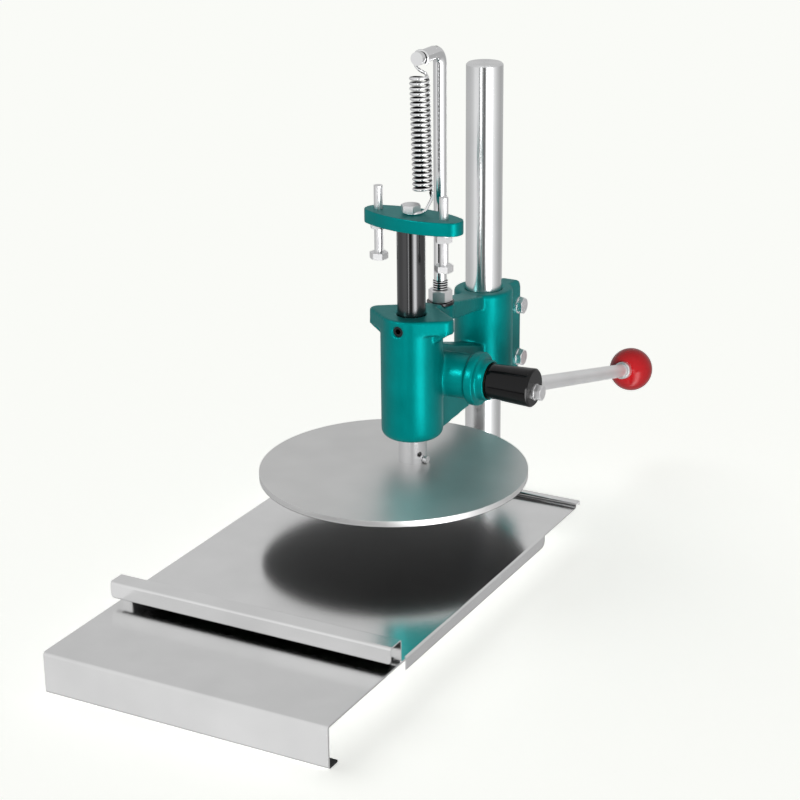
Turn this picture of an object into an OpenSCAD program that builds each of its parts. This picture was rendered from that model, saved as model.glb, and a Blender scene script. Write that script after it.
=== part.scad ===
// Pizza dough press: round plate on a rack-driven ram over a sliding tray.
// Millimetres. X to the lever side, Y to the rear, Z up, floor at Z 0.
// Every module is drawn about the ram axis and moved by in_row() to the row frame.

/* [Folded base] */
// Half width of the base sheet
base_half = 129.2; // [120:0.1:140]
// Distance from the ram axis to the front flange
base_front = 378.4; // [340:0.1:420]
// Height of the base's top face
base_top = 36.4; // [30:0.1:45]
// Sheet thickness of the base
base_sheet = 2; // [1:0.1:3]
// Outer radius of the base's bends
base_bend = 3; // [2.2:0.1:6]
// Depth of the return under the front flange
base_return = 13.5; // [8:0.1:20]
// Half width of the rear tongue that carries the column
tongue_half = 34; // [26:0.5:38]
// Rear end of the tongue behind the ram axis
tongue_rear = 172; // [165:0.5:178]
// Half width of the tongue's rear flange
tongue_end_half = 22; // [16:0.5:26]

/* [Tray] */
// How far the tray stands out past each side of the base sheet
tray_overhang = 1.5; // [0.5:0.1:4]
// Height of the tray's top face
tray_top = 38; // [37:0.1:42]
// Sheet thickness of the tray
tray_sheet = 1.2; // [0.8:0.1:2]
// Distance from the ram axis to the front face of the front lip
lip_front = 284; // [250:0.1:300]
// Distance from the ram axis to the back face of the front lip's wall
lip_back = 266.4; // [240:0.1:280]
// Height of the front lip
lip_top = 57.3; // [50:0.1:65]
// Lower edge of the front lip's face
lip_low = 42; // [40:0.1:48]
// Front of the rear lip's wall
rear_lip_wall = 69; // [60:0.1:75]
// Rear end of the tray
rear_lip_end = 78; // [74:0.1:84]
// Height of the rear lip
rear_lip_top = 42.2; // [40:0.1:43]
// Front end of the side flanges
flange_front = 259; // [240:0.5:264]
// Rear end of the side flanges
flange_rear = 2; // [-20:0.5:20]
// Lower edge of the side flanges
flange_low = 27; // [20:0.1:34]

/* [Column] */
// Distance from the ram axis to the column axis
column_y = 144; // [135:0.1:150]
// Radius of the column
column_r = 17; // [14:0.1:20]
// Height of the column's top face
column_top = 420; // [380:0.5:460]
// Radius of the foot bolt's shank
foot_bolt_r = 6; // [5:0.1:8]

/* [Head casting] */
// Radius of the barrel
barrel_r = 27.7; // [24:0.1:32]
// Lower end of the barrel
barrel_low = 111; // [105:0.5:118]
// Top face of the flange
flange_top = 224.8; // [220:0.1:235]
// Thickness of the flange
flange_thick = 13.3; // [10:0.1:20]
// Radius of the flange's ear ends
ear_r = 8.7; // [7:0.1:12]
// Distance from the ram axis to the centre of an ear end
ear_x = 32.8; // [28:0.1:36]
// Turn of the flange seen from above
flange_turn = -2.5; // [-8:0.1:8]
// Radius of the clamp sleeve
sleeve_r = 27.6; // [24:0.1:30]
// Lower end of the sleeve
sleeve_low = 106; // [96:0.5:110]
// Upper end of the sleeve
sleeve_top = 208; // [200:0.5:215]
// Half width of the clamp ears
clamp_half = 19; // [15:0.1:22]
// Rear end of the clamp ears
clamp_rear = 186.5; // [182:0.1:190]
// Width of the clamp slit
slit = 3; // [2:0.1:5]
// Half width of the arm and of the lower web
web_half = 12; // [9:0.1:16]
// Radius of the pinion boss
boss_r = 20.2; // [18:0.1:22]
// Radius of the boss's rim
rim_r = 24.2; // [22:0.1:26]
// Outer end of the rim
rim_end = 57.5; // [54:0.1:60]
// Radius of the collar outside the rim
collar_r = 18.4; // [17:0.1:20]
// Outer end of the collar
collar_end = 66.5; // [63:0.1:68]

/* [Ram and rack] */
// Radius of the ram
ram_r = 12.6; // [11:0.1:15]
// Lower face of the crosshead, where the ram ends
crosshead_low = 302.8; // [295:0.1:310]
// Module of rack and pinion
gear_module = 2; // [1.5:0.25:2.5]
// Teeth on the pinion
pinion_teeth = 14; // [12:1:18]
// Pressure angle of rack and pinion
pressure_angle = 20; // [14.5:0.5:25]
// Play between the teeth, along the rack
tooth_play = 0.3; // [0.1:0.05:0.5]
// Distance from the ram axis to the pinion axis
pinion_y = 25; // [23:0.1:28]
// Height of the pinion axis
pinion_z = 164.3; // [160:0.1:170]

/* [Lever] */
// Radius of the pinion shaft
shaft_r = 8; // [6:0.1:10]
// Inner end of the hub
hub_in = 67; // [66.8:0.1:72]
// Outer end of the hub
hub_out = 108; // [104:0.1:112]
// Radius of the hub at its inner end
hub_r_in = 15.6; // [14:0.1:18]
// Radius of the hub at its outer end
hub_r_out = 17.3; // [15:0.1:20]
// Lever position along the hub
lever_x = 96; // [92:0.5:98]
// Dip of the lever below level at rest
lever_dip = 14.5; // [0:0.5:30]
// Distance from the pinion axis to the ball's centre
lever_length = 263.9; // [220:0.5:300]
// Radius of the lever rod
rod_r = 6.8; // [5.5:0.1:8]
// Radius of the ball
ball_r = 21; // [18:0.1:25]

/* [Crosshead] */
// Thickness of the crosshead
crosshead_thick = 12.2; // [10:0.1:15]
// Half width of the crosshead in the middle
crosshead_half = 19.6; // [17:0.1:24]
// Radius of the crosshead's ends
crosshead_end_r = 11.6; // [9:0.1:13]
// Distance from the crosshead's middle to the centre of an end
crosshead_end_x = 37.2; // [34:0.1:40]
// Distance of the crosshead's middle from the ram axis
crosshead_shift = 2.6; // [0:0.1:4]
// Turn of the crosshead seen from above
crosshead_turn = -5; // [-8:0.1:8]
// Distance from the ram axis to a stop bolt
stop_x = 33.6; // [30:0.1:37]
// Radius of the stop bolts' shanks
stop_r = 3.9; // [3:0.1:5]
// Lower face of the left stop bolt's head
stop_left_low = 269.5; // [266:0.1:275]
// Lower face of the right stop bolt's head
stop_right_low = 268; // [266:0.1:275]
// Length of a stop bolt over all
stop_length = 66; // [60:0.5:75]
// Height of a stop bolt's head
stop_head = 6; // [4:0.1:8]
// Width across flats of a stop bolt's head
stop_flats = 14.4; // [13:0.1:17]

/* [Return spring and hanger] */
// Distance from the ram axis to the spring axis
spring_y = 20; // [18:0.5:24]
// Radius of the spring's wire
wire_r = 1; // [0.7:0.05:1.3]
// Radius of the coils at the wire's centre
coil_r = 8; // [7:0.1:9]
// Number of coils
coils = 24.5; // [20:0.5:28]
// Lowest coil
coil_low = 329.6; // [326:0.1:335]
// Highest coil
coil_high = 430.6; // [425:0.1:434]
// Distance from the ram axis to the hanger rod
hanger_y = 55.5; // [50:0.1:60]
// Radius of the hanger rod
hanger_r = 5.9; // [5:0.1:7]
// Radius of the thread at the hanger's foot
hanger_thread_r = 7; // [6:0.1:8]
// Height of the hanger's level part
hanger_z = 446.7; // [440:0.1:452]
// Radius of the hanger's bend
hanger_bend = 12; // [8:0.5:18]
// Front end of the hanger behind the ram axis
hanger_front = 12.5; // [8:0.1:15]
// Radius of the groove that holds the hook
groove_r = 4.7; // [4:0.1:5.5]

/* [Press plate] */
// Radius of the press plate
plate_r = 120; // [100:1:160]
// Thickness of the press plate
plate_thick = 5.6; // [4:0.1:8]
// Top face of the press plate
plate_top = 86; // [84:0.1:88]
// Offset of the plate's centre from the ram axis
plate_offset = 24; // [0:0.5:30]
// Turn of that offset to the left, seen from above
plate_turn = 17; // [0:0.5:30]
// Radius of the spigot in the ram
spigot_r = 7.9; // [6:0.1:9]

/* [Clearances] */
// Radial gap of a shaft that turns or slides in its bore
running_gap = 0.09; // [0.05:0.01:0.1]
// Radial gap round a screw or a fixed shank
screw_gap = 0.1; // [0.05:0.01:0.3]
// Gap beside a sliding sheet
sheet_gap = 0.3; // [0.2:0.05:0.5]

/* [Hidden] */
// Half width of the tray
tray_half = base_half + tray_overhang;
$fn = 64;
frame_y = 40.2;
far = 400;
pitch_r = gear_module * pinion_teeth / 2;
base_r = pitch_r * cos(pressure_angle);
tip_r = pitch_r + 0.8 * gear_module;
root_r = pitch_r - gear_module;
pinion_half = 9;
pitch_line = pinion_y - pitch_r;
tooth_pitch = PI * gear_module;
rack_low = -2;
rack_high = 8;
crosshead_top = crosshead_low + crosshead_thick;
head_low = crosshead_top + 2 * wire_r + 0.3;
pinion_bore = tip_r + 0.6;
seat_thick = 6;
clamp_z = [131, 183];
clamp_y = 180;
clamp_bolt_r = 3.9;
nut_left = 5.6;
nut_right = 6.6;
stop_washer = 1.9;
hanger_seat = 218;
hanger_washer = 2.5;
hanger_nut = 11;
screw_z = 215;
screw_r = 4.6;
pin_z = 89.4;
hub_bolt_drop = 3.5;

module in_row() {
    translate([0, frame_y, 0])
        children();
}

// A side outline drawn as (Y, Z), made solid from x0 to x1
module side_solid(x0, x1) {
    translate([x0, 0, 0])
        rotate([90, 0, 90])
            linear_extrude(height = x1 - x0)
                children();
}

// A rod or bore along X
module x_rod(x0, x1, r) {
    translate([x0, pinion_y, pinion_z])
        rotate([0, 90, 0])
            cylinder(h = x1 - x0, r = r);
}

// A quarter of a bent sheet, sx and sy choose the quarter
module bend_2d(cx, cy, r, t, sx, sy) {
    translate([cx, cy])
        intersection() {
            difference() {
                circle(r);
                circle(r - t);
            }
            translate([sx < 0 ? -r : 0, sy < 0 ? -r : 0])
                square([r, r]);
        }
}

module leg_2d(x0, y0, x1, y1) {
    translate([x0, y0])
        square([x1 - x0, y1 - y0]);
}

// Hexagon along Z with the given width across flats, corners turned off below or above
module hex(flats, h, below = false, above = true) {
    r = flats / sqrt(3);
    q = 0.48 * flats;
    drop = (r + 1 - q) * tan(30);
    intersection() {
        cylinder(h = h, r = r, $fn = 6);
        rotate_extrude()
            polygon(concat(
                [[0, 0]],
                below ? [[q, 0], [r + 1, drop]] : [[r + 1, 0]],
                above ? [[r + 1, h - drop], [q, h]] : [[r + 1, h]],
                [[0, h]]
            ));
    }
}

// Long disc between two flat arcs, with smaller round ends
module lens_plate(half, r_end, x_end, h) {
    big = (x_end * x_end + half * half - r_end * r_end) / (2 * (half - r_end));
    x_meet = x_end + r_end * x_end / (big - r_end);
    linear_extrude(height = h)
        union() {
            intersection() {
                translate([0, half - big])
                    circle(big, $fn = 256);
                translate([0, big - half])
                    circle(big, $fn = 256);
                translate([-x_meet, -half - 1])
                    square([2 * x_meet, 2 * half + 2]);
            }
            for (s = [-1, 1])
                translate([s * x_end, 0])
                    circle(r_end);
        }
}

// Thread drawn as a row of V rings from Z 0 up
module thread_rings(r_out, r_in, pitch, count) {
    rotate_extrude()
        polygon(concat(
            [[0, 0], [r_in, 0]],
            [for (i = [0 : count - 1])
                each [[r_out, (i + 0.5) * pitch], [r_in, (i + 1) * pitch]]],
            [[0, count * pitch]]
        ));
}

// Middle disc and two smaller end discs joined by straight tangents
module eared_plate(r_mid, r_end, x_end, h) {
    a = acos((r_mid - r_end) / x_end);
    cylinder(h = h, r = r_mid);
    for (s = [-1, 1]) {
        translate([s * x_end, 0, 0])
            cylinder(h = h, r = r_end);
        linear_extrude(height = h)
            polygon([
                [0, -r_mid * sin(a)],
                [s * r_mid * cos(a), -r_mid * sin(a)],
                [s * (x_end + r_end * cos(a)), -r_end * sin(a)],
                [s * (x_end + r_end * cos(a)), r_end * sin(a)],
                [s * r_mid * cos(a), r_mid * sin(a)],
                [0, r_mid * sin(a)]
            ]);
    }
}

// Rod with a rounded lower edge
module soft_foot(r, low, high, soft) {
    translate([0, 0, low])
        rotate_extrude()
            intersection() {
                union() {
                    translate([0, soft])
                        square([r, high - low - soft]);
                    square([r - soft, soft]);
                    translate([r - soft, soft])
                        circle(soft);
                }
                square([r, high - low]);
            }
}

/* Base */

module base_profile() {
    y0 = -base_front;
    leg_2d(y0 + base_bend, base_top - base_sheet, y0 + 40, base_top);
    bend_2d(y0 + base_bend, base_top - base_bend, base_bend, base_sheet, -1, 1);
    leg_2d(y0, base_bend, y0 + base_sheet, base_top - base_bend);
    bend_2d(y0 + base_bend, base_bend, base_bend, base_sheet, -1, -1);
    leg_2d(y0 + base_bend, 0, y0 + base_return, base_sheet);
}

// A skirt folded down from an edge of the top sheet, outer face at 0
module skirt(length) {
    rotate([90, 0, 90])
        linear_extrude(height = length, center = true)
            union() {
                bend_2d(-base_bend, base_top - base_bend, base_bend, base_sheet, 1, 1);
                leg_2d(-base_sheet, 0, 0, base_top - base_bend);
            }
}

module base_plate() in_row() {
    side_skirt = 92;
    difference() {
        union() {
            side_solid(-base_half, base_half)
                base_profile();
            translate([0, 0, base_top - base_sheet])
                linear_extrude(height = base_sheet)
                    polygon([
                        [-base_half, 39 - base_front],
                        [base_half, 39 - base_front],
                        [base_half, 0],
                        [tongue_half - base_bend, 46],
                        [tongue_half - base_bend, 152],
                        [tongue_end_half, tongue_rear - base_bend],
                        [-tongue_end_half, tongue_rear - base_bend],
                        [base_bend - tongue_half, 152],
                        [base_bend - tongue_half, 46],
                        [-base_half, 0]
                    ]);
            for (s = [-1, 1])
                translate([s * tongue_half, 58 + side_skirt / 2, 0])
                    rotate([0, 0, -s * 90])
                        skirt(side_skirt);
            translate([0, tongue_rear, 0])
                skirt(2 * tongue_end_half);
        }
        translate([0, column_y, 0])
            cylinder(h = base_top + 1, r = foot_bolt_r + 0.5);
    }
}

module seat_plate() in_row() {
    difference() {
        translate([-30, column_y - 32, base_top - base_sheet - seat_thick])
            cube([60, 52, seat_thick]);
        translate([0, column_y, 0])
            cylinder(h = base_top, r = foot_bolt_r + 0.5);
    }
}

module foot_washer() in_row() {
    translate([0, column_y, base_top - base_sheet - seat_thick - 2.5])
        difference() {
            cylinder(h = 2.5, r = 12);
            translate([0, 0, -1])
                cylinder(h = 5, r = foot_bolt_r + 0.5);
        }
}

module foot_bolt() in_row() {
    z0 = base_top - base_sheet - seat_thick - 2.5;
    translate([0, column_y, z0 - 7.5])
        hex(18, 7.5);
    translate([0, column_y, z0 - 1])
        cylinder(h = 34, r = foot_bolt_r);
}

module column() in_row() {
    chamfer = 1.5;
    translate([0, column_y, base_top])
        difference() {
            union() {
                cylinder(h = column_top - base_top - chamfer, r = column_r);
                translate([0, 0, column_top - base_top - chamfer])
                    cylinder(h = chamfer, r1 = column_r, r2 = column_r - chamfer);
            }
            translate([0, 0, -1])
                cylinder(h = 27, r = foot_bolt_r + screw_gap);
        }
}

/* Tray */

module tray_profile() {
    t = tray_sheet;
    b = 2.4;
    y_wall = -lip_back;
    y_face = -lip_front;
    leg_2d(y_wall + b - t, tray_top - t, rear_lip_wall - b + t, tray_top);
    bend_2d(y_wall + b - t, tray_top + b - t, b, t, -1, -1);
    leg_2d(y_wall - t, tray_top + b - t, y_wall, lip_top - b);
    bend_2d(y_wall - b, lip_top - b, b, t, 1, 1);
    leg_2d(y_face + b, lip_top - t, y_wall - b, lip_top);
    bend_2d(y_face + b, lip_top - b, b, t, -1, 1);
    leg_2d(y_face, lip_low + b, y_face + t, lip_top - b);
    bend_2d(y_face + b, lip_low + b, b, t, -1, -1);
    leg_2d(y_face + b, lip_low, y_face + b + 1.6, lip_low + t);
    bend_2d(y_face + b + 1.6, lip_low + b, b, t, 1, -1);
    leg_2d(y_face + 2 * b + 1.6 - t, lip_low + b, y_face + 2 * b + 1.6, lip_low + b + 2.2);
}

module rear_lip_profile() {
    t = tray_sheet;
    b = 1.9;
    y_wall = rear_lip_wall;
    leg_2d(y_wall - 10, tray_top - t, y_wall - b + t, tray_top);
    bend_2d(y_wall - b + t, tray_top + b - t, b, t, 1, -1);
    leg_2d(y_wall, tray_top + b - t, y_wall + t, rear_lip_top - b);
    bend_2d(y_wall + b, rear_lip_top - b, b, t, -1, 1);
    leg_2d(y_wall + b, rear_lip_top - t, rear_lip_end - b, rear_lip_top);
    bend_2d(rear_lip_end - b, rear_lip_top - b, b, t, 1, 1);
    leg_2d(rear_lip_end - t, tray_top - 0.6, rear_lip_end, rear_lip_top - b);
}

module tray_flange() {
    t = tray_sheet;
    b = 2;
    length = flange_front + flange_rear;
    round_r = 6;
    intersection() {
        translate([0, (flange_rear - flange_front) / 2, 0])
            rotate([90, 0, 0])
                linear_extrude(height = length, center = true)
                    union() {
                        bend_2d(tray_half - b, tray_top - b, b, t, 1, 1);
                        leg_2d(tray_half - t, flange_low, tray_half, tray_top - b);
                        leg_2d(tray_half - b - 2, tray_top - t, tray_half - b, tray_top);
                    }
        side_solid(tray_half - 20, tray_half + 20)
            union() {
                leg_2d(-flange_front, flange_low, flange_rear - round_r, tray_top);
                leg_2d(-flange_front, flange_low + round_r, flange_rear, tray_top);
                translate([flange_rear - round_r, flange_low + round_r])
                    circle(round_r);
            }
    }
}

module tray() in_row() {
    b = 2;
    round_r = 5;
    difference() {
        union() {
            side_solid(-tray_half, tray_half)
                tray_profile();
            side_solid(-tray_half, tray_half)
                rear_lip_profile();
        }
        for (s = [-1, 1]) {
            translate([s > 0 ? tray_half - b : -tray_half - b, -flange_front, tray_top - 4])
                cube([2 * b, flange_front + flange_rear, 6]);
            translate([s * (tray_half - round_r), -lip_front - 1, lip_low + round_r])
                rotate([-90, 0, 0])
                    difference() {
                        translate([s < 0 ? -2 * round_r : 0, 0, 0])
                            cube([2 * round_r, 2 * round_r, 9]);
                        translate([0, 0, -1])
                            cylinder(h = 11, r = round_r);
                    }
        }
    }
    tray_flange();
    mirror([1, 0, 0])
        tray_flange();
}

/* Head */

module arm_profile() {
    polygon([
        [10, flange_top - 0.4],
        [34, flange_top - 0.4],
        [43, hanger_seat],
        [67, hanger_seat],
        [122, 207],
        [146, 207],
        [146, 195.5],
        [118, 195.5],
        [80, 200],
        [46, 205],
        [10, 208]
    ]);
}

module web_profile() {
    polygon([
        [10, 191],
        [38, 187],
        [61, 178],
        [120, 160],
        [146, 160],
        [146, 112],
        [120, 111],
        [38, 106],
        [10, 113]
    ]);
}

module clamp_profile() {
    soft = 9;
    union() {
        leg_2d(column_y, 118, clamp_rear - soft, sleeve_top);
        leg_2d(column_y, 118 + soft, clamp_rear, sleeve_top - soft);
        translate([clamp_rear - soft, sleeve_top - soft])
            circle(soft);
        translate([clamp_rear - soft, 118 + soft])
            circle(soft);
    }
}

module head_outer() {
    rotate([0, 0, flange_turn])
        soft_foot(barrel_r, barrel_low, flange_top, 7);
    translate([0, 0, flange_top - flange_thick])
        rotate([0, 0, flange_turn])
            eared_plate(barrel_r, ear_r, ear_x, flange_thick);
    for (s = [-1, 1])
        rotate([0, 0, flange_turn])
            translate([0, 8, 0])
                rotate([90, 0, 0])
                    linear_extrude(height = 16)
                        polygon([
                            [s * 20, 199],
                            [s * 27, 203],
                            [s * 40.4, flange_top - flange_thick + 1],
                            [s * 20, flange_top - flange_thick + 1]
                        ]);
    side_solid(-web_half, web_half)
        arm_profile();
    side_solid(-web_half, web_half)
        web_profile();
    translate([0, hanger_y, 206])
        cylinder(h = hanger_seat - 206, r = 13);
    translate([0, column_y, sleeve_low])
        cylinder(h = sleeve_top - sleeve_low - 1.5, r = sleeve_r);
    translate([0, column_y, sleeve_top - 1.5])
        cylinder(h = 1.5, r1 = sleeve_r, r2 = sleeve_r - 1.5);
    side_solid(-clamp_half, clamp_half)
        clamp_profile();
    x_rod(-26, 50, boss_r);
    x_rod(48.5, rim_end, rim_r);
    x_rod(50, collar_end, collar_r);
}

module head_bores() {
    translate([0, 0, 90])
        cylinder(h = 160, r = ram_r + running_gap);
    translate([0, column_y, 90])
        cylinder(h = 130, r = column_r + running_gap);
    translate([-slit / 2, column_y + 10, 90])
        cube([slit, 50, 130]);
    x_rod(-pinion_half - 1, collar_end + 1, pinion_bore);
    x_rod(-22.5, 0, shaft_r - 1 + running_gap);
    for (z = clamp_z)
        translate([-30, clamp_y, z])
            rotate([0, 90, 0])
                cylinder(h = 60, r = clamp_bolt_r + 0.4);
    translate([0, hanger_y, 202])
        cylinder(h = 20, r = hanger_r - 0.4 + screw_gap);
    translate([0, -40, screw_z])
        rotate([-90, 0, 0])
            cylinder(h = 40, r = screw_r + screw_gap);
}

module head_casting() in_row() {
    difference() {
        head_outer();
        head_bores();
    }
}

module shaft_bush() in_row() {
    difference() {
        x_rod(12, collar_end, pinion_bore - screw_gap);
        x_rod(11, collar_end + 1, shaft_r + running_gap);
    }
}

module set_screw() in_row() {
    translate([0, -25.2, screw_z])
        rotate([-90, 0, 0])
            difference() {
                cylinder(h = 12.3, r = screw_r);
                translate([0, 0, -1])
                    hex(4.6, 5, false, false);
            }
}

module clamp_bolts() in_row() {
    for (z = clamp_z)
        translate([clamp_half + 1.6, clamp_y, z])
            rotate([0, 90, 0]) {
                hex(14, 5.4);
                translate([0, 0, -49])
                    cylinder(h = 50, r = clamp_bolt_r);
            }
}

module clamp_washers() in_row() {
    for (z = clamp_z)
        for (x = [clamp_half, -clamp_half - 1.6])
            translate([x, clamp_y, z])
                rotate([0, 90, 0])
                    difference() {
                        cylinder(h = 1.6, r = 8.2);
                        translate([0, 0, -1])
                            cylinder(h = 4, r = clamp_bolt_r + 0.4);
                    }
}

module clamp_nuts() in_row() {
    for (z = clamp_z)
        translate([-clamp_half - 1.6 - 6.5, clamp_y, z])
            rotate([0, 90, 0])
                difference() {
                    hex(14, 6.5, true, false);
                    translate([0, 0, -1])
                        cylinder(h = 9, r = clamp_bolt_r + screw_gap);
                }
}

/* Hanger and spring */

module hanger_rod() in_row() {
    foot = hanger_seat + hanger_washer + hanger_nut;
    translate([0, hanger_y, 204])
        cylinder(h = foot - 204 + 1, r = hanger_r - 0.4);
    translate([0, hanger_y, foot])
        thread_rings(hanger_thread_r, hanger_thread_r - 1, 2.2, 4);
    translate([0, hanger_y, foot + 8])
        cylinder(h = hanger_z - hanger_bend - foot - 8, r = hanger_r);
    difference() {
        translate([0, hanger_y - hanger_bend, hanger_z - hanger_bend])
            rotate([90, 0, 90])
                rotate_extrude(angle = 90)
                    translate([hanger_bend, 0])
                        circle(hanger_r);
        translate([-0.3, hanger_y - 9, hanger_z])
            cylinder(h = 20, r = 2.8);
    }
    translate([0, hanger_y - hanger_bend, hanger_z])
        rotate([90, 0, 0]) {
            cylinder(h = hanger_y - hanger_bend - spring_y - 2.2, r = hanger_r);
            cylinder(h = hanger_y - hanger_bend - hanger_front, r = groove_r);
            translate([0, 0, hanger_y - hanger_bend - spring_y + 2.2])
                cylinder(h = spring_y - hanger_front - 2.2, r = hanger_r);
        }
}

module hanger_nut() in_row() {
    translate([0, hanger_y, hanger_seat + hanger_washer])
        difference() {
            rotate([0, 0, 18])
                hex(19, hanger_nut, true, true);
            translate([0, 0, -1])
                cylinder(h = hanger_nut + 2, r = hanger_r - 0.4 + screw_gap);
        }
}

module hanger_washer() in_row() {
    translate([0, hanger_y, hanger_seat])
        difference() {
            cylinder(h = hanger_washer, r = 12.3);
            translate([0, 0, -1])
                cylinder(h = hanger_washer + 2, r = hanger_r - 0.4 + screw_gap);
        }
}

// Centre line of the spring from the loop round the bolt to the hook's tip
loop_r = 5.3 + wire_r + 0.3;
loop_z = crosshead_top + wire_r + 0.15;
hook_r = groove_r + wire_r + 0.3;
spring_path = concat(
    [for (i = [0 : 9])
        let (a = -20 - i * 29)
        [loop_r * cos(a), loop_r * sin(a), loop_z]],
    [[3.2, 8.3, loop_z], [4.3, 11.4, loop_z + 1.3], [5.4, 14.1, loop_z + 4.7],
     [6.8, 16.5, loop_z + 8.4], [7.7, 18.3, coil_low - 2.4]],
    [for (i = [0 : 8 * coils])
        [coil_r * cos(i * 45), spring_y + coil_r * sin(i * 45),
         coil_low + (coil_high - coil_low) * i / (8 * coils)]],
    [[-7.4, spring_y - 2.2, coil_high + 1.9], [-4.6, spring_y - 1.4, coil_high + 3.2],
     [-0.6, spring_y, coil_high + 3.6], [3.4, spring_y, coil_high + 5.4],
     [5.6, spring_y, coil_high + 9]],
    [for (i = [0 : 7])
        let (a = -4 + i * 27)
        [hook_r * cos(a), spring_y, hanger_z + hook_r * sin(a)]]
);

function unit(v) = v / norm(v);
function tangent(p, i) =
    unit(p[min(i + 1, len(p) - 1)] - p[max(i - 1, 0)]);
function turn_into(v, t) = unit(v - (v * t) * t);
function side_vectors(p) =
    [for (i = 0, v = turn_into([0, 0, 1], tangent(p, 0));
          i < len(p);
          i = i + 1, v = turn_into(v, tangent(p, min(i, len(p) - 1))))
        v];
function closest(p) =
    min([for (i = [0 : len(p) - 6])
        min([for (j = [i + 5 : len(p) - 1]) norm(p[i] - p[j])])]);

module wire(p, r, sides) {
    v = side_vectors(p);
    n = len(p);
    points = [for (i = [0 : n - 1])
        let (t = tangent(p, i), w = cross(t, v[i]))
        for (k = [0 : sides - 1])
            p[i] + r * (cos(k * 360 / sides) * v[i] + sin(k * 360 / sides) * w)];
    walls = [for (i = [0 : n - 2])
        for (k = [0 : sides - 1])
            let (a = i * sides + k, b = i * sides + (k + 1) % sides)
            each [[a, b + sides, b], [a, a + sides, b + sides]]];
    first = [for (k = [1 : sides - 2]) [0, k, k + 1]];
    last = [for (k = [1 : sides - 2])
        [(n - 1) * sides, (n - 1) * sides + k + 1, (n - 1) * sides + k]];
    polyhedron(points = points, faces = concat(walls, first, last));
}

module return_spring() in_row() {
    echo(spring_gap = closest(spring_path) - 2 * wire_r);
    wire(spring_path, wire_r, 6);
}

/* Ram */

module rack_space() {
    half = (tooth_pitch / 2 + tooth_play) / 2;
    deep = 2;
    out = 2.4;
    polygon([
        [pitch_line - deep, deep * tan(pressure_angle) - half],
        [pitch_line + out, -half - out * tan(pressure_angle)],
        [pitch_line + out, half + out * tan(pressure_angle)],
        [pitch_line - deep, half - deep * tan(pressure_angle)]
    ]);
}

module ram() in_row() {
    difference() {
        translate([0, 0, plate_top])
            cylinder(h = crosshead_low - plate_top, r = ram_r);
        translate([0, 0, plate_top - 1])
            cylinder(h = 25, r = spigot_r + screw_gap);
        translate([0, 0, crosshead_low - 28])
            cylinder(h = 30, r = 5 + screw_gap);
        for (k = [rack_low : rack_high])
            translate([0, 0, pinion_z + k * tooth_pitch])
                side_solid(-15, 15)
                    rack_space();
        translate([0, 0, 95.3])
            rotate([0, 90, -32])
                cylinder(h = 20, r = 2.4);
        translate([0, 0, pin_z])
            rotate([0, 90, -6])
                cylinder(h = 20, r = 2.5 + screw_gap);
    }
}

module at_stop(s) {
    rotate([0, 0, crosshead_turn])
        translate([s * stop_x, 0, 0])
            children();
}

module crosshead() in_row() {
    difference() {
        translate([0, 0, crosshead_low])
            rotate([0, 0, crosshead_turn])
                translate([crosshead_shift, 0, 0])
                    lens_plate(crosshead_half, crosshead_end_r, crosshead_end_x, crosshead_thick);
        translate([0, 0, crosshead_low - 1])
            cylinder(h = crosshead_thick + 2, r = 5 + screw_gap);
        for (s = [-1, 1])
            translate([0, 0, crosshead_low - 1])
                at_stop(s)
                    cylinder(h = crosshead_thick + 2, r = stop_r + running_gap);
    }
}

module crosshead_bolt() in_row() {
    translate([0, 0, head_low])
        rotate([0, 0, 10])
            hex(15.6, 6);
    translate([0, 0, crosshead_low - 22])
        cylinder(h = head_low - crosshead_low + 23, r = 5);
}

module stop_nuts() in_row() {
    for (s = [-1, 1])
        at_stop(s)
            translate([0, 0, s < 0 ? crosshead_low - nut_left : crosshead_low - stop_washer - nut_right])
                difference() {
                    rotate([0, 0, 12])
                        hex(13.4, s < 0 ? nut_left : nut_right, true, false);
                    translate([0, 0, -1])
                        cylinder(h = 12, r = stop_r + running_gap);
                }
}

module stop_washers() in_row() {
    at_stop(1)
        translate([0, 0, crosshead_low - stop_washer])
            difference() {
                cylinder(h = stop_washer, r = 8.3);
                translate([0, 0, -1])
                    cylinder(h = 4, r = stop_r + running_gap);
            }
}

module stop_bolt(s, low) {
    at_stop(s)
        translate([0, 0, low]) {
            rotate([0, 0, 24])
                hex(stop_flats, stop_head, true, false);
            translate([0, 0, stop_head - 1])
                cylinder(h = stop_length - stop_head + 1, r = stop_r);
        }
}

module left_stop_bolt() in_row() {
    stop_bolt(-1, stop_left_low);
}

module right_stop_bolt() in_row() {
    stop_bolt(1, stop_right_low);
}

/* Press plate */

module press_plate() in_row() {
    translate([-plate_offset * sin(plate_turn), -plate_offset * cos(plate_turn), plate_top - plate_thick])
        cylinder(h = plate_thick, r = plate_r, $fn = 128);
    difference() {
        translate([0, 0, plate_top - 1])
            cylinder(h = 22, r = spigot_r);
        translate([0, 0, pin_z])
            rotate([0, 90, -6])
                cylinder(h = 20, r = 2.5 + screw_gap);
        translate([0, 0, 95.3])
            rotate([0, 90, -32])
                cylinder(h = 20, r = 2.4);
    }
}

module plate_screw() in_row() {
    translate([0, 0, pin_z])
        rotate([0, 90, -6]) {
            translate([0, 0, 2.5])
                cylinder(h = 11, r = 2.5);
            translate([0, 0, 12.75])
                cylinder(h = 3.6, r = 3.4);
        }
}

/* Lever */

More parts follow.
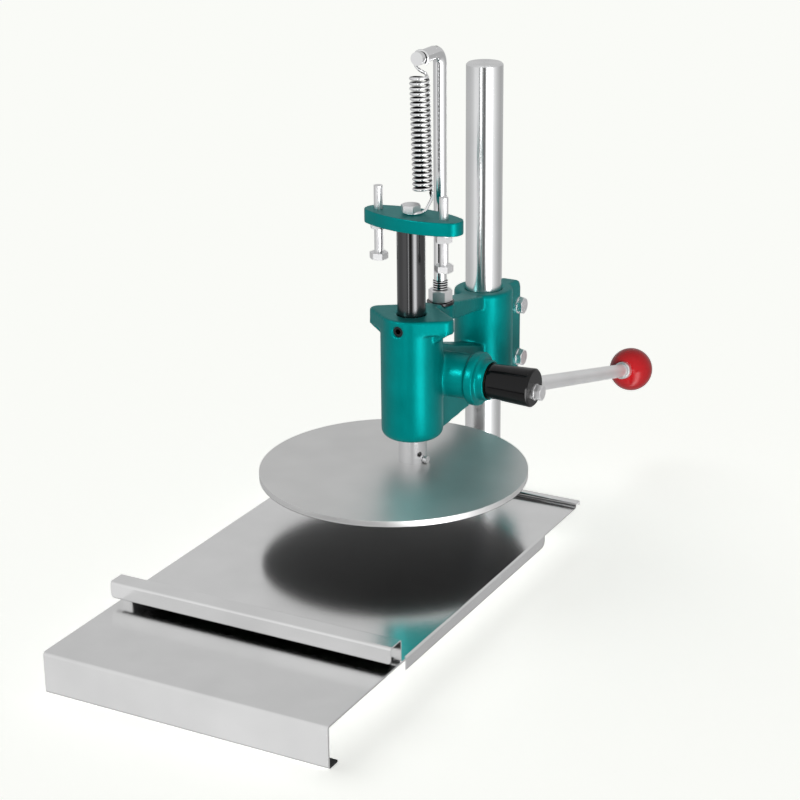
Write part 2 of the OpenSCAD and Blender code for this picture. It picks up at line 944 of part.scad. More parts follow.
function involute(t) =
    let (a = t * PI / 180)
    [base_r * (cos(t) + a * sin(t)), base_r * (sin(t) - a * cos(t))];
function turned(p, a) = [p[0] * cos(a) - p[1] * sin(a), p[0] * sin(a) + p[1] * cos(a)];
tip_roll = sqrt(pow(tip_r / base_r, 2) - 1) * 180 / PI;
flank_turn = 90 / pinion_teeth + (tan(pressure_angle) - pressure_angle * PI / 180) * 180 / PI;
flank_steps = 5;

module pinion_2d() {
    polygon([for (k = [0 : pinion_teeth - 1])
        let (a = k * 360 / pinion_teeth)
        each concat(
            [turned([root_r, 0], a - flank_turn)],
            [for (i = [0 : flank_steps]) turned(involute(tip_roll * i / flank_steps), a - flank_turn)],
            [for (i = [flank_steps : -1 : 0])
                let (p = involute(tip_roll * i / flank_steps))
                turned([p[0], -p[1]], a + flank_turn)],
            [turned([root_r, 0], a + flank_turn)]
        )]);
}

module pinion_shaft() in_row() {
    difference() {
        union() {
            translate([0, pinion_y, pinion_z])
                rotate([90, 0, 90])
                    linear_extrude(height = 2 * pinion_half, center = true)
                        pinion_2d();
            x_rod(-22, -pinion_half + 1, shaft_r - 1);
            x_rod(pinion_half - 1, 87, shaft_r);
        }
        translate([70, pinion_y - 2.5, pinion_z + shaft_r - 3])
            cube([16, 5, 6]);
    }
}

module hub_key() in_row() {
    translate([70.2, pinion_y - 2.4, pinion_z + shaft_r - 3])
        cube([15.6, 4.8, 5]);
}

module at_lever() {
    translate([lever_x, pinion_y, pinion_z])
        rotate([-90 - lever_dip, 0, 0])
            children();
}

module lever_hub() in_row() {
    soft = 1.5;
    difference() {
        union() {
            translate([hub_in, pinion_y, pinion_z])
                rotate([0, 90, 0])
                    cylinder(h = hub_out - soft - hub_in, r1 = hub_r_in, r2 = hub_r_out);
            translate([hub_out - soft, pinion_y, pinion_z])
                rotate([0, 90, 0])
                    cylinder(h = soft, r1 = hub_r_out, r2 = hub_r_out - soft);
        }
        x_rod(hub_in - 1, 87.5, shaft_r + screw_gap);
        translate([hub_in - 1, pinion_y - 2.5, pinion_z])
            cube([20, 5, shaft_r + 2.2]);
        at_lever()
            translate([0, 0, -7])
                cylinder(h = 40, r = rod_r + screw_gap);
        translate([0, 0, -hub_bolt_drop])
            x_rod(lever_x, hub_out + 1, 4 + screw_gap);
    }
}

module hub_bolt() in_row() {
    translate([0, 0, -hub_bolt_drop]) {
        x_rod(lever_x + rod_r + 0.1, hub_out + 2, 4);
        x_rod(hub_out, hub_out + 1.6, 7.4);
        translate([hub_out + 1.5, pinion_y, pinion_z])
            rotate([0, 90, 0])
                hex(12.6, 6.5);
    }
}

module lever_rod() in_row() {
    at_lever()
        translate([0, 0, -6.5])
            cylinder(h = lever_length + 2, r1 = rod_r, r2 = rod_r - 0.5);
}

module ball_ferrule() in_row() {
    at_lever()
        translate([0, 0, lever_length - ball_r - 4])
            difference() {
                cylinder(h = 6, r = 8.4);
                translate([0, 0, -1])
                    cylinder(h = 8, r = rod_r - 0.3);
            }
}

module ball_knob() in_row() {
    at_lever()
        difference() {
            translate([0, 0, lever_length])
                sphere(ball_r);
            translate([0, 0, lever_length - ball_r - 1])
                cylinder(h = ball_r, r = rod_r - 0.3);
            translate([0, 0, lever_length - ball_r - 1])
                cylinder(h = 3.1, r = 8.5);
        }
}

color("#c9ccce") base_plate();
color("#8c8f92") seat_plate();
color("#a9acaf") foot_washer();
color("#a9acaf") foot_bolt();
color("#d5d8db") column();
color("#c9ccce") tray();
color("#0c8581") head_casting();
color("#b08d57") shaft_bush();
color("#7e8183") set_screw();
color("#c4c7ca") clamp_bolts();
color("#c4c7ca") clamp_washers();
color("#c4c7ca") clamp_nuts();
color("#c4c7ca") hanger_rod();
color("#c4c7ca") hanger_nut();
color("#c4c7ca") hanger_washer();
color("#b9bcbf") return_spring();
color("#5c5e61") ram();
color("#0c8581") crosshead();
color("#c4c7ca") crosshead_bolt();
color("#c4c7ca") stop_nuts();
color("#c4c7ca") stop_washers();
color("#c4c7ca") left_stop_bolt();
color("#c4c7ca") right_stop_bolt();
color("#b4b7b9") press_plate();
color("#c4c7ca") plate_screw();
color("#8c8f92") pinion_shaft();
color("#8c8f92") hub_key();
color("#17181a") lever_hub();
color("#d5d8db") hub_bolt();
color("#d0d2d4") lever_rod();
color("#e6e6e6") ball_ferrule();
color("#c8141e") ball_knob();
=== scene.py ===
"""Looks of the pizza dough press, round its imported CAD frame. Metres, floor at Z 0."""

import math

import bmesh
import bpy
from mathutils import Matrix, Vector


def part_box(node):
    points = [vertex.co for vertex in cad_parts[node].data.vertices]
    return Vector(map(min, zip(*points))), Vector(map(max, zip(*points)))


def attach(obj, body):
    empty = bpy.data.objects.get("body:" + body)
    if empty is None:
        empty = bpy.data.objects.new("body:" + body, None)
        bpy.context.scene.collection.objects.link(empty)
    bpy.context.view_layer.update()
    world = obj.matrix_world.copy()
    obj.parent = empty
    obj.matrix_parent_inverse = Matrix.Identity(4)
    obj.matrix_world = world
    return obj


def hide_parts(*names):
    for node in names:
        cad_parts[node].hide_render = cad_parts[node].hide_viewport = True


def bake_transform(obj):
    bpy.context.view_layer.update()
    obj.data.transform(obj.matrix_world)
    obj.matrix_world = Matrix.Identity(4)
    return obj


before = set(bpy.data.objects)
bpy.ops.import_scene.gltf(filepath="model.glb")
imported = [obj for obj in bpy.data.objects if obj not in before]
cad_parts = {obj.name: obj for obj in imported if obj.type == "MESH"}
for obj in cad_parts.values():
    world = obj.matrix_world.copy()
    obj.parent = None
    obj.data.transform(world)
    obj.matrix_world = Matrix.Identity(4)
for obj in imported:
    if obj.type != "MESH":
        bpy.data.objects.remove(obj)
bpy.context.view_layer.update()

# ---------------------------------------------------------------- Studio
# The camera stands right of the press and looks down on it at about 20 degrees.
# A white floor and a soft surround light it. Bright and dark strips of the surround
# draw the upright stripes on the chrome bars.
scene = bpy.context.scene
scene.view_settings.view_transform = "Standard"

lens = bpy.data.cameras.new("studio_camera")
lens.sensor_width = 36
lens.lens = 94.15
lens.shift_x = -0.0152
lens.clip_start = 0.05
lens.clip_end = 60
camera = bpy.data.objects.new("studio_camera", lens)
scene.collection.objects.link(camera)
eye = Vector((0.8193, -1.4998, 0.7979))
camera_axes = Matrix((
    (0.88402, -0.15860, 0.43974),
    (0.46741, 0.31358, -0.82656),
    (-0.00680, 0.93623, 0.35134),
))
camera.matrix_world = Matrix.Translation(eye) @ camera_axes.to_4x4()
scene.camera = camera


def new_object(name, shape, sharp_angle=35):
    """Turns a finished bmesh into an object whose place is in its mesh."""
    for edge in shape.edges:
        if len(edge.link_faces) == 2:
            edge.smooth = edge.calc_face_angle(0) < math.radians(sharp_angle)
    for face in shape.faces:
        face.smooth = True
    mesh = bpy.data.meshes.new(name)
    shape.to_mesh(mesh)
    shape.free()
    piece = bpy.data.objects.new(name, mesh)
    scene.collection.objects.link(piece)
    return piece


floor_white = (0.93, 0.94, 0.905, 1)
floor_shape = bmesh.new()
bmesh.ops.create_grid(floor_shape, x_segments=1, y_segments=1, size=14)
floor = new_object("floor", floor_shape)
floor_paint = bpy.data.materials.new("floor_paint")
floor_paint.use_nodes = True
floor_shader = floor_paint.node_tree.nodes["Principled BSDF"]
floor_shader.inputs["Base Color"].default_value = floor_white
floor_shader.inputs["Roughness"].default_value = 0.9
floor_shader.inputs["Specular IOR Level"].default_value = 0
floor_shader.inputs["Emission Color"].default_value = floor_white
floor_shader.inputs["Emission Strength"].default_value = 0.66
floor.data.materials.append(floor_paint)
floor.visible_glossy = False
floor.visible_diffuse = False


def add_node(tree, kind, **settings):
    """Adds a node. A setting is the value of one of its sockets or of the node itself."""
    node = tree.nodes.new(kind)
    for key, value in settings.items():
        if key in node.inputs:
            node.inputs[key].default_value = value
        else:
            setattr(node, key, value)
    return node


def add_range(tree, value, comes, goes=(0, 1)):
    """A node that turns a value running over one range into one running over another."""
    node = add_node(tree, "ShaderNodeMapRange")
    sockets = ("From Min", "From Max", "To Min", "To Max")
    for socket, limit in zip(sockets, (*comes, *goes)):
        node.inputs[socket].default_value = limit
    tree.links.new(value, node.inputs["Value"])
    return node


def mix_colours(tree, amount, first, second):
    """Goes from the first colour to the second by an amount. The sockets 6, 7 and 2 are
    the ones that a Mix node uses for colours."""
    mix = add_node(tree, "ShaderNodeMix", data_type="RGBA")
    tree.links.new(amount, mix.inputs[0])
    for colour, socket in ((first, mix.inputs[6]), (second, mix.inputs[7])):
        if isinstance(colour, tuple):
            socket.default_value = colour
        else:
            tree.links.new(colour, socket)
    return mix.outputs[2]


# What the metal sees, as degrees to the right of the camera and brightness: a low ring
# round the horizon and a high one above it
LOW_RING = (
    (-180, 0.55), (-142, 0.52), (-100, 0.56), (-78, 0.66), (-62, 0.86), (-40, 0.88),
    (-34, 0.56), (-26, 0.50), (-24, 3.2), (-20, 3.2), (-18, 0.50), (-12, 0.42),
    (-8, 0.13), (1, 0.12), (6, 0.6), (11, 1.6), (16, 3.2), (22, 6.0), (27, 7.2),
    (36, 7.2), (42, 4.6), (48, 1.6), (54, 1.12), (64, 0.92), (76, 0.73), (92, 0.58),
    (113, 0.46), (142, 0.50), (180, 0.55),
)
HIGH_RING = (
    (-180, 0.62), (-130, 0.64), (-90, 0.72), (-58, 0.86), (-20, 0.82), (-5, 0.62),
    (5, 0.62), (15, 0.9), (50, 0.84), (90, 0.7), (130, 0.62), (180, 0.62),
)
world = bpy.data.worlds.new("surround")
scene.world = world
world.use_nodes = True
world.cycles.sampling_method = "NONE"
sky = world.node_tree
sky.nodes.clear()
sky_link = sky.links.new
middle_bearing = math.atan2(camera_axes[1][2], camera_axes[0][2])
direction = add_node(sky, "ShaderNodeTexCoord")
turned_ring = add_node(sky, "ShaderNodeMapping", vector_type="POINT")
turned_ring.inputs["Rotation"].default_value = (0, 0, -middle_bearing)
ring = add_node(sky, "ShaderNodeTexGradient", gradient_type="RADIAL")
sky_link(direction.outputs["Generated"], turned_ring.inputs["Vector"])
sky_link(turned_ring.outputs["Vector"], ring.inputs["Vector"])


def ring_tones(table):
    """The tones of a ring as a colour ramp that goes once round the horizon."""
    ramp = add_node(sky, "ShaderNodeValToRGB")
    stops = ramp.color_ramp.elements
    stops[0].position, stops[1].position = 0, 1
    for degrees, _ in table[1:-1]:
        stops.new(0.5 + degrees / 360)
    for stop, (_, tone) in zip(stops, table):
        stop.color = (tone, tone, tone, 1)
    sky_link(ring.outputs["Fac"], ramp.inputs["Fac"])
    return ramp.outputs["Color"]


# Metal sees the rings, matt surfaces a dim sky and the camera a plain pale one
height = add_node(sky, "ShaderNodeSeparateXYZ")
sky_link(direction.outputs["Generated"], height.inputs["Vector"])
above_skyline = add_range(sky, height.outputs["Z"], (-0.04, 0.04)).outputs["Result"]
rings = mix_colours(sky, above_skyline, ring_tones(LOW_RING), ring_tones(HIGH_RING))
metal_sky = add_node(sky, "ShaderNodeBackground", Strength=1.0)
plain_sky = add_node(sky, "ShaderNodeBackground", Color=(1, 1, 1, 1), Strength=0.95)
dim_sky = add_node(sky, "ShaderNodeBackground", Color=(1, 1, 1, 1), Strength=0.11)
which_ray = add_node(sky, "ShaderNodeLightPath")
matt_sky = add_node(sky, "ShaderNodeMixShader")
mixed_sky = add_node(sky, "ShaderNodeMixShader")
sky_out = add_node(sky, "ShaderNodeOutputWorld")
sky_link(rings, metal_sky.inputs["Color"])
sky_link(which_ray.outputs["Is Diffuse Ray"], matt_sky.inputs["Fac"])
sky_link(plain_sky.outputs["Background"], matt_sky.inputs[1])
sky_link(dim_sky.outputs["Background"], matt_sky.inputs[2])
sky_link(which_ray.outputs["Is Glossy Ray"], mixed_sky.inputs["Fac"])
sky_link(matt_sky.outputs["Shader"], mixed_sky.inputs[1])
sky_link(metal_sky.outputs["Background"], mixed_sky.inputs[2])
sky_link(mixed_sky.outputs["Shader"], sky_out.inputs["Surface"])


def soft_lamp(name, strength, spread, towards, lit, shine=False):
    """A wide soft lamp that only lights the pieces of one collection. It gives them
    either their plain light or, with shine, only their highlights."""
    lamp = bpy.data.lights.new(name, "SUN")
    lamp.energy = strength
    lamp.angle = math.radians(spread)
    holder = bpy.data.objects.new(name, lamp)
    holder.rotation_euler = Vector(towards).to_track_quat("-Z", "Y").to_euler()
    holder.visible_glossy = shine
    holder.visible_diffuse = not shine
    scene.collection.objects.link(holder)
    holder.light_linking.receiver_collection = lit


# One lamp from above left gives the floor its pale shadow right of the base. The enamel
# and the red ball have one lamp beside the camera, a high one at the left for their
# highlights and a weaker one behind the press.
lit_floor = bpy.data.collections.new("lit_floor")
lit_floor.objects.link(floor)
soft_lamp("floor_lamp", 1.0, 50, (0.9, -0.3, -1.3), lit_floor)
lit_paint = bpy.data.collections.new("lit_paint")
soft_lamp("front_lamp", 5.2, 26, (-0.50, 0.866, -0.14), lit_paint)
soft_lamp("shine_lamp", 1.1, 14, (0.41, 0.77, -0.49), lit_paint, shine=True)
soft_lamp("back_lamp", 3.0, 40, (0.45, -0.88, -0.07), lit_paint)

# ---------------------------------------------------------------- Base sheet
# One stainless sheet folded down at the front with a small return under it, and a
# narrow tongue at the rear that carries the column. Satin from the rolling mill.
MM = 0.001


def shader_of(material):
    return material.node_tree.nodes["Principled BSDF"]


def new_finish(name, colour, metal, rough):
    """A plain finish, which the functions below give its texture."""
    material = bpy.data.materials.new(name)
    material.use_nodes = True
    shader = shader_of(material)
    shader.inputs["Base Color"].default_value = (*colour, 1)
    shader.inputs["Metallic"].default_value = metal
    shader.inputs["Roughness"].default_value = rough
    return material


def add_noise(material, packed, detail, roughness=0.5):
    """A noise that is fixed to the piece. packed is how tightly it is packed, as one
    number or as three along X, Y and Z."""
    tree = material.node_tree
    place = add_node(tree, "ShaderNodeTexCoord")
    stretch = add_node(tree, "ShaderNodeMapping")
    stretch.inputs["Scale"].default_value = (
        packed if isinstance(packed, tuple) else (packed, packed, packed)
    )
    noise = add_node(
        tree, "ShaderNodeTexNoise", Scale=1.0, Detail=detail, Roughness=roughness
    )
    tree.links.new(place.outputs["Object"], stretch.inputs["Vector"])
    tree.links.new(stretch.outputs["Vector"], noise.inputs["Vector"])
    return noise.outputs["Fac"]


def vary_colour(material, noise, colour, share):
    """Lets a colour drift a share darker and lighter with a noise."""
    tree = material.node_tree
    tint = add_node(tree, "ShaderNodeValToRGB")
    darker, lighter = tint.color_ramp.elements
    darker.position, lighter.position = 0.3, 0.7
    darker.color = (*[tone * (1 - share) for tone in colour], 1)
    lighter.color = (*[min(1, tone * (1 + share)) for tone in colour], 1)
    tree.links.new(noise, tint.inputs["Fac"])
    tree.links.new(tint.outputs["Color"], shader_of(material).inputs["Base Color"])


def vary_gloss(material, noise, smoothest, roughest):
    """Lets the roughness drift between two values with a noise."""
    tree = material.node_tree
    gloss = add_range(tree, noise, (0, 1), (smoothest, roughest))
    tree.links.new(gloss.outputs["Result"], shader_of(material).inputs["Roughness"])


def add_relief(material, noise, strength, depth):
    """Raises a surface a little with a noise."""
    tree = material.node_tree
    bump = add_node(tree, "ShaderNodeBump", Strength=strength, Distance=depth)
    tree.links.new(noise, bump.inputs["Height"])
    tree.links.new(bump.outputs["Normal"], shader_of(material).inputs["Normal"])


def metal_finish(name, colour, rough, grain, relief=0.05):
    """Metal with fine grain lines, faint clouding and small differences in gloss.
    grain is how tightly the lines are packed."""
    metal = new_finish(name, colour, 1.0, rough)
    lines = add_noise(metal, grain, 3.0, 0.6)
    clouds = add_noise(metal, 22, 2.0)
    vary_colour(metal, clouds, colour, 0.03)
    vary_gloss(metal, lines, rough * 0.88, rough * 1.12)
    add_relief(metal, lines, relief, 0.2 * MM)
    return metal


def dress(node, material):
    """Gives a CAD node its finish."""
    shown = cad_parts[node]
    shown.data.materials.clear()
    shown.data.materials.append(material)


def cover(material, amount, tone):
    """Covers a finish's colour with another where the amount is 1."""
    tree = material.node_tree
    colour = shader_of(material).inputs["Base Color"]
    under = colour.links[0].from_socket
    tree.links.new(mix_colours(tree, amount, under, (*tone, 1)), colour)


def point_place(tree):
    """Where a point of a piece is, and that place's X, Y and Z."""
    place = add_node(tree, "ShaderNodeTexCoord").outputs["Object"]
    along = add_node(tree, "ShaderNodeSeparateXYZ")
    tree.links.new(place, along.inputs["Vector"])
    return place, along.outputs


def paint_shade_where(material, tests):
    """Paints shade, nearly black, on a finish where all tests hold, as in an unlit
    hollow. A test is a value, a comparison and a limit."""
    tree = material.node_tree
    hollow = None
    for value, comparison, limit in tests:
        test = add_node(tree, "ShaderNodeMath", operation=comparison)
        test.inputs[1].default_value = limit
        tree.links.new(value, test.inputs[0])
        if hollow is None:
            hollow = test.outputs[0]
            continue
        both = add_node(tree, "ShaderNodeMath", operation="MULTIPLY")
        tree.links.new(hollow, both.inputs[0])
        tree.links.new(test.outputs[0], both.inputs[1])
        hollow = both.outputs[0]
    cover(material, hollow, (0.025, 0.025, 0.026))


def paint_shade_box(material, low, high):
    """Paints shade, nearly black, on a finish inside a box. A side of the box that is
    None is open.
    """
    _, along = point_place(material.node_tree)
    tests = []
    for axis, lowest, highest in zip("XYZ", low, high):
        tests.append((along[axis], "GREATER_THAN", lowest))
        tests.append((along[axis], "LESS_THAN", highest))
    paint_shade_where(material, [test for test in tests if test[2] is not None])


base_steel = metal_finish("base_steel", (0.80, 0.80, 0.80), 0.18, (30, 1400, 1400))
base_low, base_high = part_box("base_plate")
# The inside of the fold is painted with shade, nearly black, from just past the inner
# side of the 2 mm sheet. The tongue behind the hollow gets none.
inside_sheet, tongue_start = 2.1 * MM, 86 * MM
paint_shade_box(
    base_steel,
    (None, base_low[1] + inside_sheet, None),
    (None, tongue_start, base_high[2] - inside_sheet),
)
dress("base_plate", base_steel)

# ---------------------------------------------------------------- Column and its foot
# The column is a plain chromed bar with a chamfered end. A bolt from below, through a
# seat plate and washer under the tongue, holds it upright.


def turned_bar(material, axis_y, strength):
    """Smears the reflections along an upright bar at X 0, as turning marks do."""
    tree = material.node_tree
    place = add_node(tree, "ShaderNodeTexCoord")
    outward = add_node(tree, "ShaderNodeVectorMath", operation="SUBTRACT")
    outward.inputs[1].default_value = (0, axis_y, 0)
    around = add_node(tree, "ShaderNodeVectorMath", operation="CROSS_PRODUCT")
    around.inputs[1].default_value = (0, 0, 1)
    shader = shader_of(material)
    shader.inputs["Anisotropic"].default_value = strength
    shader.inputs["Anisotropic Rotation"].default_value = 0.25
    tree.links.new(place.outputs["Object"], outward.inputs[0])
    tree.links.new(outward.outputs["Vector"], around.inputs[0])
    tree.links.new(around.outputs["Vector"], shader.inputs["Tangent"])


column_chrome = metal_finish(
    "column_chrome", (0.79, 0.795, 0.80), 0.16, 300, relief=0.01
)
column_low, column_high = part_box("column")
turned_bar(column_chrome, (column_low[1] + column_high[1]) / 2, 0.97)
dress("column", column_chrome)
foot_steel = metal_finish("foot_steel", (0.42, 0.42, 0.42), 0.38, 300)
for node in ("seat_plate", "foot_washer", "foot_bolt"):
    dress(node, foot_steel)

# ---------------------------------------------------------------- Tray
# A thin folded stainless sheet that slides over the base. It has a hollow front lip
# with a hem, a low rear lip and a short flange down each side.
tray_steel = metal_finish("tray_steel", (0.83, 0.83, 0.83), 0.17, (40, 1200, 1200))
tray_low, tray_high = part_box("tray")
# The inside of the lip is painted with shade, nearly black, from just past the inner side
# of the 1.2 mm sheet. Light gets into the lip's two ends, so they get none.
inside_lip, lit_lip_end = 1.3 * MM, 9 * MM
lip_floor, lip_depth = 11.5 * MM, 17.8 * MM
paint_shade_box(
    tray_steel,
    (tray_low[0] + lit_lip_end, tray_low[1] + inside_lip, tray_low[2] + lip_floor),
    (tray_high[0] - lit_lip_end, tray_low[1] + lip_depth, tray_high[2] - inside_lip),
)
dress("tray", tray_steel)

# ---------------------------------------------------------------- Head casting
# One iron casting: barrel with an eared flange, pinion boss, arm, lower web and split
# clamp sleeve. The edges are soft from the mould, under thick green enamel with a
# little orange peel.


def cast_piece(node, name, voxel, rounds):
    """A copy of a CAD node with its edges and corners softened like a casting."""
    shape = bmesh.new()
    shape.from_mesh(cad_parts[node].data)
    bmesh.ops.remove_doubles(shape, verts=shape.verts, dist=0.01 * MM)
    raw = new_object(name + "_raw", shape)
    remesh = raw.modifiers.new("mould", "REMESH")
    remesh.mode = "VOXEL"
    remesh.voxel_size = voxel
    remesh.use_smooth_shade = True
    seen = raw.evaluated_get(bpy.context.evaluated_depsgraph_get())
    shape = bmesh.new()
    shape.from_mesh(seen.to_mesh())
    seen.to_mesh_clear()
    bpy.data.objects.remove(raw)
    for _ in range(rounds):
        bmesh.ops.smooth_vert(
            shape, verts=shape.verts, factor=0.5,
            use_axis_x=True, use_axis_y=True, use_axis_z=True,
        )
    piece = new_object(name, shape, sharp_angle=80)
    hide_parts(node)
    return piece


deep_green = (0.0, 0.17, 0.165)
green_enamel = new_finish("green_enamel", deep_green, 0.36, 0.33)
shader_of(green_enamel).inputs["Specular Tint"].default_value = (0.02, 0.75, 0.75, 1)
vary_colour(green_enamel, add_noise(green_enamel, 35, 3.0), deep_green, 0.1)
add_relief(green_enamel, add_noise(green_enamel, 420, 2.0), 0.3, 0.4 * MM)
casting = cast_piece("head_casting", "cast_head", 1.15 * MM, 6)
casting.data.materials.append(green_enamel)
lit_paint.objects.link(casting)
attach(casting, "head")

# The bush in the boss is hidden but for its end, which is painted nearly black as shade
# between the boss and the hub. The set screw in the barrel is black.
bush_bronze_painted_shade = metal_finish("bush_bronze_painted_shade", (0.06, 0.045, 0.03), 0.3, 200)
dress("shaft_bush", bush_bronze_painted_shade)
screw_steel = metal_finish("screw_steel", (0.03, 0.031, 0.032), 0.2, 400)
dress("set_screw", screw_steel)

# ---------------------------------------------------------------- Clamp bolts
# Two zinc plated bolts with washers and nuts draw the ears of the sleeve together,
# which clamps the head to the column.
zinc = metal_finish("zinc", (0.82, 0.82, 0.825), 0.36, 260, relief=0.01)
for node in ("clamp_bolts", "clamp_washers", "clamp_nuts"):
    dress(node, zinc)

# ---------------------------------------------------------------- Spring hanger
# A chromed round bar screwed into the arm, locked with a large nut on a washer and
# bent forward over the ram.
hanger_y = 95.7 * MM
hanger_chrome = metal_finish(
    "hanger_chrome", (0.80, 0.805, 0.81), 0.1, (500, 500, 30), relief=0.03
)
turned_bar(hanger_chrome, hanger_y, 0.85)


def paint_shade_round(material, middle, radius, low, high):
    """Paints shade, nearly black, on a finish inside an upright cylinder."""
    tree = material.node_tree
    place, along = point_place(tree)
    level = add_node(tree, "ShaderNodeVectorMath", operation="MULTIPLY")
    level.inputs[1].default_value = (1, 1, 0)
    away = add_node(tree, "ShaderNodeVectorMath", operation="DISTANCE")
    away.inputs[1].default_value = (*middle, 0)
    tree.links.new(place, level.inputs[0])
    tree.links.new(level.outputs["Vector"], away.inputs[0])
    paint_shade_where(material, (
        (away.outputs["Value"], "LESS_THAN", radius),
        (along["Z"], "GREATER_THAN", low),
        (along["Z"], "LESS_THAN", high),
    ))


# The groove for the hook, the thread's grooves and the drilled hole are painted with
# shade, nearly black
groove_front, groove_back, groove_low = 58.1 * MM, 62.3 * MM, 430 * MM
thread_root, thread_low, thread_high = 6.5 * MM, 229 * MM, 240.4 * MM
hole_middle, hole_radius = (-0.3 * MM, 86.7 * MM), 2.9 * MM
hole_low, hole_high = 446.6 * MM, 454 * MM
paint_shade_box(hanger_chrome, (None, groove_front, groove_low), (None, groove_back, None))
paint_shade_round(hanger_chrome, (0, hanger_y), thread_root, thread_low, thread_high)
paint_shade_round(hanger_chrome, hole_middle, hole_radius, hole_low, hole_high)
dress("hanger_rod", hanger_chrome)
dress("hanger_nut", zinc)
# The washer under the hanger nut takes the nearly black screw finish as painted shade
# under the nut.
dress("hanger_washer", screw_steel)

# ---------------------------------------------------------------- Return spring
# Wound from one bright spring wire, with a loop round the crosshead bolt and a hook
# over the hanger's groove. It stretches as the ram comes down.
spring_wire = metal_finish("spring_wire", (0.86, 0.865, 0.87), 0.18, 300)
ram_y = 40.2 * MM
spring_y = ram_y + 20 * MM
coil_low, coil_high, coil_turns = 329.6 * MM, 430.6 * MM, 23
coil_radius, wire_radius = 7.65 * MM, 1.42 * MM
steps_a_turn = 24
# The coil leans by this much to each side of upright
lean = 1.3 * MM


def round_wire(name, points, radius, material):
    """A round wire drawn through points, as a mesh."""
    path = bpy.data.curves.new(name, "CURVE")
    path.dimensions = "3D"
    path.bevel_depth = radius
    path.bevel_resolution = 3
    path.use_fill_caps = True
    run = path.splines.new("POLY")
    run.points.add(len(points) - 1)
    for spot, point in zip(run.points, points):
        spot.co = (*point, 1)
    drawn = bpy.data.objects.new(name + "_path", path)
    scene.collection.objects.link(drawn)
    seen = drawn.evaluated_get(bpy.context.evaluated_depsgraph_get())
    shape = bmesh.new()
    shape.from_mesh(seen.to_mesh())
    seen.to_mesh_clear()
    bpy.data.objects.remove(drawn)
    bmesh.ops.remove_doubles(shape, verts=shape.verts, dist=0.001 * MM)
    wire = new_object(name, shape, sharp_angle=60)
    wire.data.materials.append(material)
    return wire


def smooth_path(corners, steps=4):
    """Points of a smooth curve through the corners, by the Catmull-Rom rule."""
    path = []
    last = len(corners) - 1
    for i in range(last):
        a, b = Vector(corners[max(i - 1, 0)]), Vector(corners[i])
        c, d = Vector(corners[i + 1]), Vector(corners[min(i + 2, last)])
        for k in range(steps):
            t = k / steps
            path.append(0.5 * (
                2 * b + (c - a) * t + (2 * a - 5 * b + 4 * c - d) * t * t
                + (3 * b - a - 3 * c + d) * t ** 3
            ))
    path.append(Vector(corners[last]))
    return path


def from_ram(x, y, z):
    """A point given in millimetres from the ram's axis."""
    return (x * MM, ram_y + y * MM, z * MM)


def arc(wide, high, turns):
    """Pairs of offsets along an arc, at the given degrees."""
    return [
        (wide * math.cos(math.radians(turn)), high * math.sin(math.radians(turn)))
        for turn in turns
    ]


def coil_middle(z):
    """Where the leaning coil's axis is along X at a height."""
    return lean * (1 - 2 * (z - coil_low) / (coil_high - coil_low))


loop = [from_ram(1.2 + x, 2.2 + y, 316.2) for x, y in arc(8, 8, range(70, 371, 25))]
lead_out = [
    from_ram(11.4, 6.0, 317.8), from_ram(11.7, 10.0, 320.9),
    from_ram(12.3, 14.0, 324.4), from_ram(12.2, 17.0, 327.0),
]
coil = []
for i in range(coil_turns * steps_a_turn + 1):
    z = coil_low + (coil_high - coil_low) * i / (coil_turns * steps_a_turn)
    turn = math.radians(360 * i / steps_a_turn)
    coil.append((
        coil_middle(z) + coil_radius * math.cos(turn),
        spring_y + coil_radius * math.sin(turn),
        z,
    ))
lead_in = [
    from_ram(3.4, 22.0, 433.2), from_ram(-1.8, 21.2, 435.6),
    from_ram(-5.6, 20.9, 439.4), from_ram(-6.4, 20.9, 443.6),
]
hook = [from_ram(x, 20.9, 446.0 + z) for x, z in arc(6.4, 6.2, range(172, -60, -20))]
spring_points = smooth_path(loop + lead_out)[:-1] + coil + smooth_path(lead_in + hook)
spring = round_wire("wound_spring", spring_points, wire_radius, spring_wire)

# The side of each turn that looks inwards is painted with shade, nearly black. Every
# point of the coil keeps how far it stands out from the wire's middle, from -1 inwards to
# 1 outwards.
stand_out = spring.data.attributes.new("stand_out", "FLOAT", "POINT")
for vertex, value in zip(spring.data.vertices, stand_out.data):
    x, y, z = vertex.co
    from_axis = math.hypot(x - coil_middle(z), y - spring_y)
    is_coil = coil_low < z < coil_high
    value.value = (from_axis - coil_radius) / wire_radius if is_coil else 1
wire_tree = spring_wire.node_tree
wire_side = add_node(wire_tree, "ShaderNodeAttribute", attribute_name="stand_out")
inner_painted_shade = add_range(wire_tree, wire_side.outputs["Fac"], (0.3, 0.8), (1, 0))
cover(spring_wire, inner_painted_shade.outputs["Result"], (0.01, 0.01, 0.011))
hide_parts("return_spring")
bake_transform(spring)

# ---------------------------------------------------------------- Ram and crosshead
# The ram is a dark oiled bar with the rack cut in its back and a bright foot. The
# crosshead on top of it is a small casting in the same green.
ram_steel = metal_finish("ram_steel", (0.085, 0.085, 0.087), 0.14, 300, relief=0.01)
turned_bar(ram_steel, ram_y, 0.96)
_, ram_along = point_place(ram_steel.node_tree)
# The dark part ends here, a little above the plate
dark_end, bright_start = 113.5 * MM, 112.5 * MM
bright_foot = add_range(ram_steel.node_tree, ram_along["Z"], (dark_end, bright_start))
cover(ram_steel, bright_foot.outputs["Result"], (0.82, 0.82, 0.83))
dress("ram", ram_steel)
cast_crosshead = cast_piece("crosshead", "cast_crosshead", 0.6 * MM, 5)
cast_crosshead.data.materials.append(green_enamel)
lit_paint.objects.link(cast_crosshead)
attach(cast_crosshead, "ram")
for node in ("crosshead_bolt", "stop_nuts", "stop_washers"):
    dress(node, zinc)

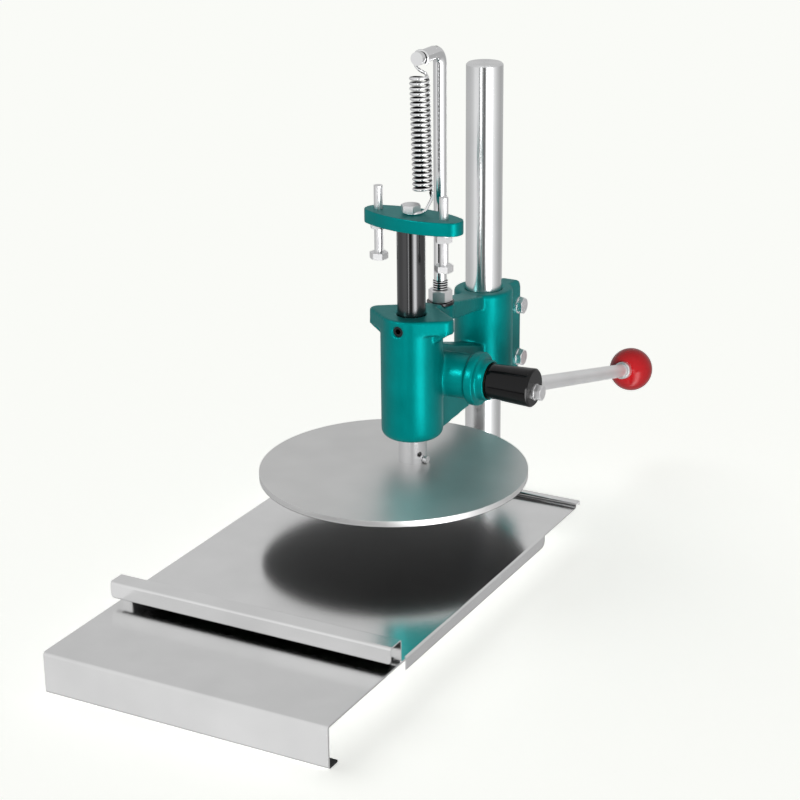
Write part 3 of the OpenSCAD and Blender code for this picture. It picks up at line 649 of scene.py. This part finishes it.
# ---------------------------------------------------------------- Stop bolts
# Two zinc plated bolts in the crosshead's ears, with plain shanks because no thread
# shows. Their heads meet the casting's flange and set how far the plate comes down.
for node in ("left_stop_bolt", "right_stop_bolt"):
    dress(node, zinc)

# ---------------------------------------------------------------- Press plate
# A round plate of ground steel, screwed to the ram off its middle. Its rim is turned
# and rougher than its faces, and its underside is painted with shade, nearly black.
plate_steel = metal_finish("plate_steel", (0.75, 0.75, 0.745), 0.24, 60)
plate_low, plate_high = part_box("press_plate")
underside, top_face = plate_low[2] + 0.3 * MM, plate_high[2] - 0.4 * MM
paint_shade_box(plate_steel, (None, None, None), (None, None, underside))
plate_tree = plate_steel.node_tree
_, plate_along = point_place(plate_tree)
is_rim = add_node(plate_tree, "ShaderNodeMath", operation="LESS_THAN")
is_rim.inputs[1].default_value = top_face
plate_tree.links.new(plate_along["Z"], is_rim.inputs[0])
rim_rough = add_range(plate_tree, is_rim.outputs[0], (0, 1), (0, 0.42))
plate_rough = shader_of(plate_steel).inputs["Roughness"]
plate_tree.links.new(plate_rough.links[0].from_socket, rim_rough.inputs["To Min"])
plate_tree.links.new(rim_rough.outputs["Result"], plate_rough)
dress("press_plate", plate_steel)


def soft_edges(node, width):
    """Rounds the sharp edges of a CAD node a little, as polishing does."""
    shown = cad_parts[node]
    weld = shown.modifiers.new("weld", "WELD")
    weld.merge_threshold = 0.01 * MM
    rounding = shown.modifiers.new("soft_edges", "BEVEL")
    rounding.width = width
    rounding.segments = 3
    rounding.limit_method = "ANGLE"
    rounding.angle_limit = math.radians(40)


soft_edges("press_plate", 0.9 * MM)
dress("plate_screw", zinc)

# ---------------------------------------------------------------- Lever
# The pinion shaft carries a black moulded hub. A tapered rod goes through the hub to a
# red ball with a bright ferrule.
shaft_steel = metal_finish("shaft_steel", (0.45, 0.45, 0.45), 0.3, 300)
dress("pinion_shaft", shaft_steel)
dress("hub_key", shaft_steel)


def plastic_finish(name, colour, rough, mirror):
    """Moulded plastic with a faint skin. mirror is how strongly it reflects."""
    plastic = new_finish(name, colour, 0.0, rough)
    shader_of(plastic).inputs["Specular IOR Level"].default_value = mirror
    vary_gloss(plastic, add_noise(plastic, 40, 4.0), rough * 0.8, rough * 1.25)
    add_relief(plastic, add_noise(plastic, 420, 2.0), 0.03, 0.3 * MM)
    return plastic


hub_black = plastic_finish("hub_black", (0.004, 0.004, 0.006), 0.15, 0.3)
dress("lever_hub", hub_black)
soft_edges("lever_hub", 0.9 * MM)
dress("hub_bolt", zinc)
rod_steel = metal_finish("rod_steel", (0.88, 0.88, 0.88), 0.34, (200, 30, 200))
dress("lever_rod", rod_steel)
dress("ball_ferrule", rod_steel)
ball_red = plastic_finish("ball_red", (0.34, 0.006, 0.009), 0.2, 0.25)
dress("ball_knob", ball_red)
lit_paint.objects.link(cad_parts["ball_knob"])
